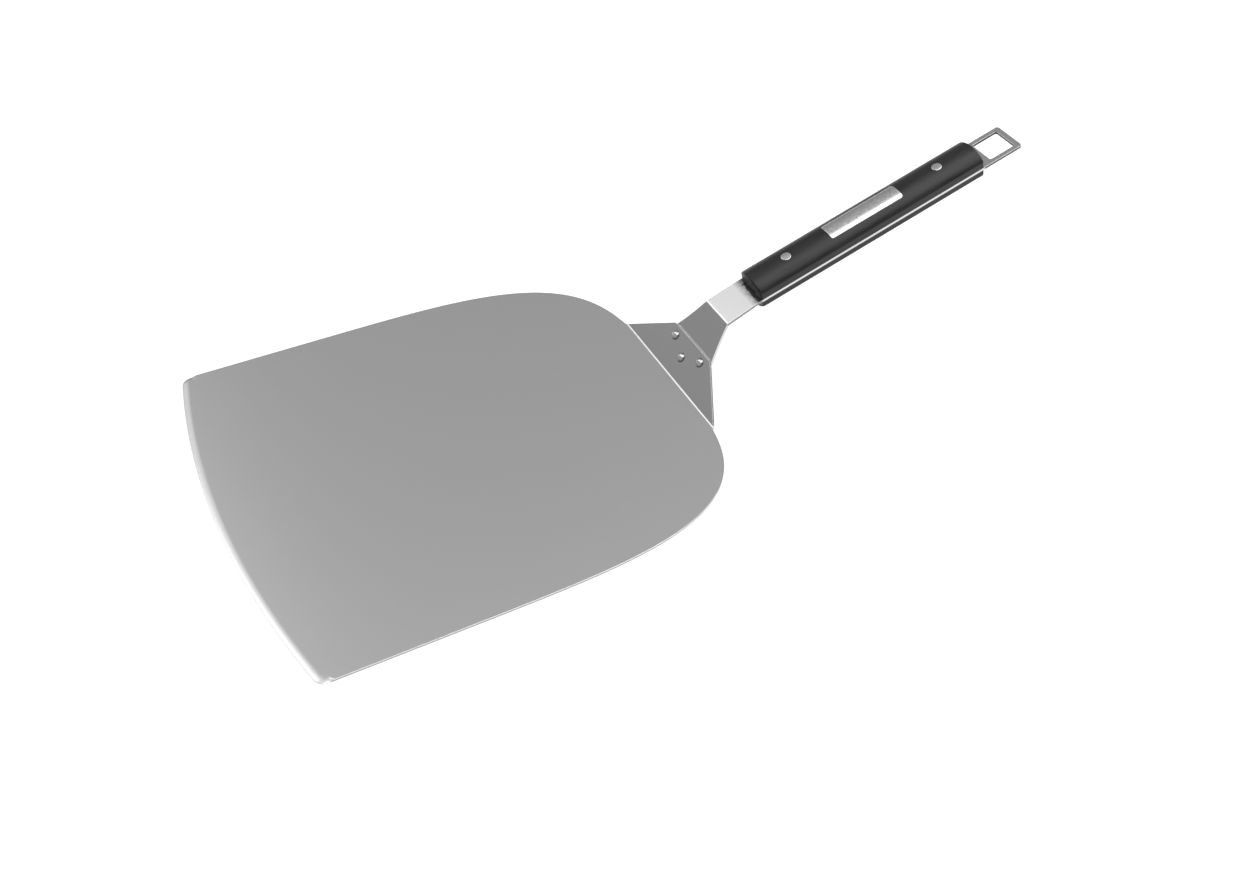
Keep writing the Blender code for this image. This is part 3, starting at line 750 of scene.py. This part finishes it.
def scale_mesh(height, side):
    """A scale lofted along the tang; side is +1 above it and -1 below it."""
    edge = rounding(SCALE_EDGE_RADIUS)
    sections = []
    for inset, setback in edge:
        profile = scale_profile(height, inset)
        sections.append([(scale_front(y, z) + setback, y, z) for y, z in profile])
    profile = scale_profile(height, 0.0)
    for i in range(1, SCALE_LENGTHS):
        share = i / SCALE_LENGTHS
        ring = []
        for y, z in profile:
            front = scale_front(y, z) + SCALE_EDGE_RADIUS
            ring.append((front + (SCALE_END - SCALE_EDGE_RADIUS - front) * share, y, z))
        sections.append(ring)
    for inset, setback in reversed(edge):
        sections.append([(SCALE_END - setback, y, z) for y, z in scale_profile(height, inset)])
    base = 0.0 if side > 0 else -BAR
    return loft([[(x, y, base + side * z) for x, y, z in ring] for ring in sections])


def curved_recess(margin, bottom_drop):
    """Cutter for the inlay's seat: a rounded rectangle bent over the crown."""
    x0, x1 = INLAY_START - margin, INLAY_END + margin
    half_width = INLAY_HALF_WIDTH + margin
    corner = INLAY_CORNER_RADIUS + margin
    axis_height = UPPER_HEIGHT - CROWN_RADIUS
    clear = 0.002
    sections = []
    for y in plate_stations(half_width, corner):
        setback = corner_setback(y, half_width, corner)
        top = axis_height + math.sqrt((CROWN_RADIUS + clear) ** 2 - y**2)
        bottom = axis_height + math.sqrt((CROWN_RADIUS - bottom_drop) ** 2 - y**2)
        a, b = x0 + setback, x1 - setback
        sections.append([(a, y, bottom), (b, y, bottom), (b, y, top), (a, y, top)])
    return loft(sections)


def corner_setback(y, half_width, corner):
    """How far a rounded rectangle's end lies back at an offset from its middle."""
    past = max(0.0, abs(y) - (half_width - corner))
    return corner - math.sqrt(max(0.0, corner**2 - past**2))


def plate_stations(half_width, corner):
    """Offsets across a rounded rectangle, closer together through its corners."""
    straight = half_width - corner
    turns = [math.pi / 2 * i / PLATE_CORNER_STEPS for i in range(PLATE_CORNER_STEPS + 1)]
    offsets = [straight + corner * math.sin(turn) for turn in turns]
    flat = [straight * (2 * i / PLATE_FLAT_STEPS - 1) for i in range(1, PLATE_FLAT_STEPS)]
    return [-y for y in reversed(offsets)] + flat + offsets


def plate_top(y):
    """The plate's upper surface: it follows the crown and rolls down towards its long edges."""
    roll = max(0.0, abs(y) - INLAY_ROLL_START) / (INLAY_HALF_WIDTH - INLAY_ROLL_START)
    return crown(y, UPPER_HEIGHT) + INLAY_PROUD * (1 - roll**2)


def edge_drop(distance):
    """How far the plate's rounded edge lies under its face at a distance in from the edge."""
    radius = INLAY_SOFT_EDGE
    if distance >= radius:
        return 0.0
    return radius - math.sqrt(radius**2 - (radius - distance) ** 2)


def plate_mesh():
    """The inlay plate as one closed solid with rounded corners and softened edges."""
    sections = []
    for y in plate_stations(INLAY_HALF_WIDTH, INLAY_CORNER_RADIUS):
        setback = corner_setback(y, INLAY_HALF_WIDTH, INLAY_CORNER_RADIUS)
        beside = INLAY_HALF_WIDTH - abs(y)
        a, b = INLAY_START + setback, INLAY_END - setback
        bottom = plate_top(y) - INLAY_THICKNESS
        ring = [(a, y, bottom), (b, y, bottom)]
        for step in INLAY_EDGE_STEPS:
            ring.append((b - step, y, plate_top(y) - edge_drop(min(step, beside))))
        for step in reversed(INLAY_EDGE_STEPS):
            ring.append((a + step, y, plate_top(y) - edge_drop(min(step, beside))))
        sections.append(ring)
    return loft(sections)


def head_profile(height, side):
    """(r, z) from under the head to its middle, with a softened rim; z is snapped to the crown later."""
    e = HEAD_SOFT_EDGE
    soft = HALF_ROUND * e
    base = 0.0 if side > 0 else -BAR
    outer = base + side * height
    under = outer - side * HEAD_HEIGHT
    rim = [
        (HEAD_RADIUS, under), (HEAD_RADIUS, outer - side * (e + HEAD_FLANK)),
        (HEAD_RADIUS, outer - side * e), (HEAD_RADIUS - soft, outer - side * soft), (HEAD_RADIUS - e, outer),
    ]
    inner = [((HEAD_RADIUS - e) * (1 - i / HEAD_RINGS), outer) for i in range(1, HEAD_RINGS + 1)]
    return rim + inner


def snap_to_crown(bm, height, side):
    """Lowers a head's outer face and rim by as much as the crown falls away there."""
    base = 0.0 if side > 0 else -BAR
    limit = base + side * (height - HEAD_FLANK)
    for vert in bm.verts:
        if side * (vert.co.z - limit) > 0:
            vert.co.z -= side * (height - crown(vert.co.y, height))


def male_rivet():
    """Upper half: head, body and the pin that drives into the lower half."""
    under_head = UPPER_HEIGHT - HEAD_HEIGHT
    profile = [
        (0, PIN_TIP), (PIN_RADIUS * 0.7, PIN_TIP), (PIN_RADIUS, PIN_TIP + PIN_CHAMFER),
        (PIN_RADIUS, MALE_SHOULDER), (BODY_RADIUS, MALE_SHOULDER), (BODY_RADIUS, under_head),
    ] + head_profile(UPPER_HEIGHT, 1)
    bm = turned(profile)
    snap_to_crown(bm, UPPER_HEIGHT, 1)
    return bm


def female_rivet():
    """Lower half: head and the tube that takes the pin."""
    under_head = -BAR - LOWER_HEIGHT + HEAD_HEIGHT
    rim = MALE_SHOULDER - GAP
    bore = PIN_RADIUS + GAP
    profile = list(reversed(head_profile(LOWER_HEIGHT, -1))) + [
        (BODY_RADIUS, under_head), (BODY_RADIUS, rim),
        (bore, rim), (bore, PIN_TIP - GAP), (0, PIN_TIP - GAP),
    ]
    bm = turned(profile)
    snap_to_crown(bm, LOWER_HEIGHT, -1)
    return bm


def rivet_hole(counterbored):
    """Cutter for one handle rivet, with a counterbore for each head."""
    body, head = BODY_RADIUS + GAP, HEAD_RADIUS + HEAD_SEAT_CLEARANCE
    margin = HOLE_MARGIN
    low, high = -BAR - LOWER_HEIGHT, UPPER_HEIGHT
    if not counterbored:
        return turned([(0, low), (body, low), (body, high), (0, high)])
    low_seat, high_seat = low + HEAD_HEIGHT + GAP, high - HEAD_HEIGHT - GAP
    return turned([
        (0, low - margin), (head, low - margin), (head, low_seat), (body, low_seat),
        (body, high_seat), (head, high_seat), (head, high + margin), (0, high + margin),
    ])


def blade_rivet():
    """A dome-headed rivet, with its tail upset under the foot."""
    sphere = (DOME_RADIUS**2 + DOME_HEIGHT**2) / (2 * DOME_HEIGHT)
    sweep = math.asin(DOME_RADIUS / sphere)
    underside = -NECK_DROP - BAR - GAP
    tail = underside - TAIL_HEIGHT
    soft = TAIL_SOFT_EDGE
    profile = [(0, tail), (TAIL_RADIUS * 0.5, tail)]
    for i in range(TAIL_STEPS + 1):
        angle = math.pi / 2 * i / TAIL_STEPS
        radius = TAIL_RADIUS - soft + soft * math.sin(angle)
        profile.append((radius, tail + soft * (1 - math.cos(angle))))
    profile += [(TAIL_RADIUS, underside), (RIVET_SHANK_RADIUS, underside), (RIVET_SHANK_RADIUS, CLOSE)]
    profile.append((DOME_RADIUS - DOME_LAND, CLOSE))
    for i in range(DOME_STEPS + 1):
        angle = sweep * (1 - i / DOME_STEPS)
        height = CLOSE + DOME_HEIGHT - sphere * (1 - math.cos(angle))
        rim = DOME_RIM if i == 0 else 0
        profile.append((sphere * math.sin(angle), height + rim))
    return turned(profile)


def blade_rivet_hole():
    """Cutter for one blade rivet through the tab and the foot."""
    radius = RIVET_SHANK_RADIUS + GAP
    reach = HOLE_MARGIN
    low = -NECK_DROP - BAR - reach
    return turned([(0, low), (radius, low), (radius, reach), (0, reach)])


# ---------------------------------------------------------------- pieces

def mesh_object(name, bm, matrix):
    """Links a bmesh as an object at a place."""
    bmesh.ops.recalc_face_normals(bm, faces=bm.faces)
    mesh = bpy.data.meshes.new(name)
    bm.to_mesh(mesh)
    bm.free()
    made = bpy.data.objects.new(name, mesh)
    bpy.context.scene.collection.objects.link(made)
    made.matrix_world = matrix
    return made


def cut(target, bm, matrix):
    """Cuts a hole now, so no helper object is left in the scene."""
    cutter = mesh_object("cutter", bm, matrix)
    boolean = target.modifiers.new("cut", "BOOLEAN")
    boolean.operation = "DIFFERENCE"
    boolean.solver = "EXACT"
    boolean.object = cutter
    graph = bpy.context.evaluated_depsgraph_get()
    graph.update()
    result = bpy.data.meshes.new_from_object(target.evaluated_get(graph))
    target.modifiers.remove(boolean)
    old = target.data
    target.data = result
    bpy.data.meshes.remove(old)
    bpy.data.objects.remove(cutter)


def finish_piece(piece, node, material, sharp=40):
    """Shades a piece, gives it its material, hangs it under the root body and hides the CAD node it stands
    for.
    """
    piece.data.name = piece.name
    piece.data.materials.clear()
    piece.data.materials.append(material)
    piece.data.shade_smooth()
    piece.data.set_sharp_from_angle(angle=math.radians(sharp))
    weighted = piece.modifiers.new("weighted_normals", "WEIGHTED_NORMAL")
    weighted.mode = "FACE_AREA"
    weighted.weight = 80
    weighted.keep_sharp = True
    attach(piece, "root")
    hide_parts(node)


def build_pieces():
    """Makes every visible piece, and gives the hidden pad its material."""
    blade_steel = brushed_steel(
        "brushed_blade_steel", base=0.60, roughness=0.26, grain=(30, 5200, 5200),
        contrast=0.012, spread=0.010, depth=6e-7, shade_edges=sheared_edges)
    bar_steel = brushed_steel(
        "brushed_bar_steel", base=0.60, roughness=0.16, grain=(40, 6000, 40),
        contrast=0.015, spread=0.012, depth=6e-7, shade_edges=bar_edges)
    inlay_steel = blasted_steel("blasted_inlay_steel", base=0.53, roughness=0.25)
    rivet_steel = turned_steel("rivet_steel", base=0.52, roughness=0.22)
    # the domes get painted shade round their seats
    dome_steel = turned_steel("dome_steel", base=0.66, roughness=0.18, seat_lightness=0.15)
    wood = stained_wood("stained_hardwood", dark=0.003, light=0.011, roughness=0.40)
    pad_foam = foam("pad_foam")

    world = Matrix.Identity(4)
    blade = mesh_object("blade_sheet", blade_mesh(), world)
    bar = mesh_object("bar_strip", bar_mesh(), world)
    cut(bar, slot_cutter(), HANDLE_FRAME)
    for name, (distance, offset) in BLADE_RIVETS.items():
        place = TAB_FRAME @ Matrix.Translation((distance, offset, 0))
        cut(blade, blade_rivet_hole(), place)
        cut(bar, blade_rivet_hole(), place)
        rivet = mesh_object(name + "_domed", blade_rivet(), place)
        finish_piece(rivet, name, dome_steel)
    upper = mesh_object("upper_scale_wood", scale_mesh(UPPER_HEIGHT, 1), HANDLE_FRAME)
    lower = mesh_object("lower_scale_wood", scale_mesh(LOWER_HEIGHT, -1), HANDLE_FRAME)
    for name, distance in HANDLE_RIVETS.items():
        place = HANDLE_FRAME @ Matrix.Translation((distance, 0, 0))
        cut(upper, rivet_hole(True), place)
        cut(lower, rivet_hole(True), place)
        cut(bar, rivet_hole(False), place)
        male = mesh_object(name + "_rivet_head_upper", male_rivet(), place)
        finish_piece(male, name + "_rivet_male", rivet_steel)
        female = mesh_object(name + "_rivet_head_lower", female_rivet(), place)
        finish_piece(female, name + "_rivet_female", rivet_steel)
    recess_depth = INLAY_THICKNESS - INLAY_PROUD + PAD_THICKNESS + 2 * GAP
    cut(upper, curved_recess(INLAY_SEAT_MARGIN, recess_depth), HANDLE_FRAME)
    plate = mesh_object("inlay_plate_formed", plate_mesh(), HANDLE_FRAME)
    finish_piece(plate, "inlay_plate", inlay_steel)
    finish_piece(blade, "blade", blade_steel)
    finish_piece(bar, "neck_tang", bar_steel)
    finish_piece(upper, "upper_scale", wood)
    finish_piece(lower, "lower_scale", wood)

    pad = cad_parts["inlay_pad"]
    pad.data.materials.clear()
    pad.data.materials.append(pad_foam)


# ---------------------------------------------------------------- studio

def soft_box(name, azimuth, elevation, span, radiance, distance=10.0):
    """A rectangular light facing the object.

    It stands some degrees from +Y towards +X and some degrees up, and spans degrees across and up.
    """
    turn, rise = math.radians(azimuth), math.radians(elevation)
    aim = Vector((math.sin(turn) * math.cos(rise), math.cos(turn) * math.cos(rise), math.sin(rise)))
    light = bpy.data.lights.new(name, "AREA")
    light.shape = "RECTANGLE"
    light.size = 2 * distance * math.tan(math.radians(span[0] / 2))
    light.size_y = 2 * distance * math.tan(math.radians(span[1] / 2))
    light.energy = radiance * math.pi * light.size * light.size_y
    made = bpy.data.objects.new(name, light)
    bpy.context.scene.collection.objects.link(made)
    made.location = Vector((0, 0, 0.03)) + aim * distance
    made.rotation_mode = "QUATERNION"
    made.rotation_quaternion = aim.to_track_quat("Z", "Y")
    made.visible_camera = False
    return made


def build_world(horizon, middle, zenith):
    """Soft studio surroundings that grow brighter from the horizon to overhead."""
    world = bpy.data.worlds.new("studio")
    world.use_nodes = True
    bpy.context.scene.world = world
    tree = world.node_tree
    coords = tree.nodes.new("ShaderNodeTexCoord")
    split = tree.nodes.new("ShaderNodeSeparateXYZ")
    tree.links.new(coords.outputs["Generated"], split.inputs[0])
    ramp = tree.nodes.new("ShaderNodeValToRGB")
    tree.links.new(split.outputs["Z"], ramp.inputs["Fac"])
    stops = ramp.color_ramp.elements
    stops[0].position, stops[0].color = 0.0, grey(horizon)
    stops[1].position, stops[1].color = 1.0, grey(zenith)
    stops.new(0.80).color = grey(middle)
    background = tree.nodes["Background"]
    tree.links.new(ramp.outputs["Color"], background.inputs["Color"])
    background.inputs["Strength"].default_value = 1.0


def build_floor():
    """The pale sheet the tool lies on, a hair lower so that no two faces coincide."""
    side = 30.0
    below = 0.0002
    bm = bmesh.new()
    bmesh.ops.create_grid(bm, x_segments=2, y_segments=2, size=side / 2)
    floor = mesh_object("studio_floor", bm, Matrix.Translation((0, 0, CAD_LOW.z - below)))
    floor.data.materials.append(light_table("pale_sheet", 0.52, 0.57))


def build_camera():
    """The camera stands in front and to the right of the blade, looking down along the tool."""
    right = Vector((0.877108, -0.478042, 0.046449))
    down = Vector((-0.308003, -0.634042, -0.709313))
    forward = Vector((0.368532, 0.607838, -0.703362))
    data = bpy.data.cameras.new("camera")
    data.sensor_width = 36.0
    data.lens = 37.44
    data.clip_start = 0.01
    camera = bpy.data.objects.new("camera", data)
    bpy.context.scene.collection.objects.link(camera)
    turn = Matrix((right, -down, -forward)).transposed().to_4x4()
    from_fold = Vector((-0.35538, -0.53625, 0.57242))
    camera.matrix_world = Matrix.Translation(FOLD + from_fold) @ turn
    bpy.context.scene.camera = camera


def build_studio():
    """Surroundings, lights, floor, camera and a plain view transform."""
    build_world(horizon=0.33, middle=0.52, zenith=0.68)
    soft_box("left_window", -30, 51, (18, 32), 1.65)
    soft_box("left_panel", -8.5, 42, (12, 32), 0.62)
    soft_box("overhead", 160, 80, (50, 40), 2.3)
    soft_box("right_fill", 100, 45, (48, 48), 2.5)
    build_floor()
    build_camera()
    view = bpy.context.scene.view_settings
    view.view_transform = "Standard"
    view.look = "None"


build_pieces()
build_studio()
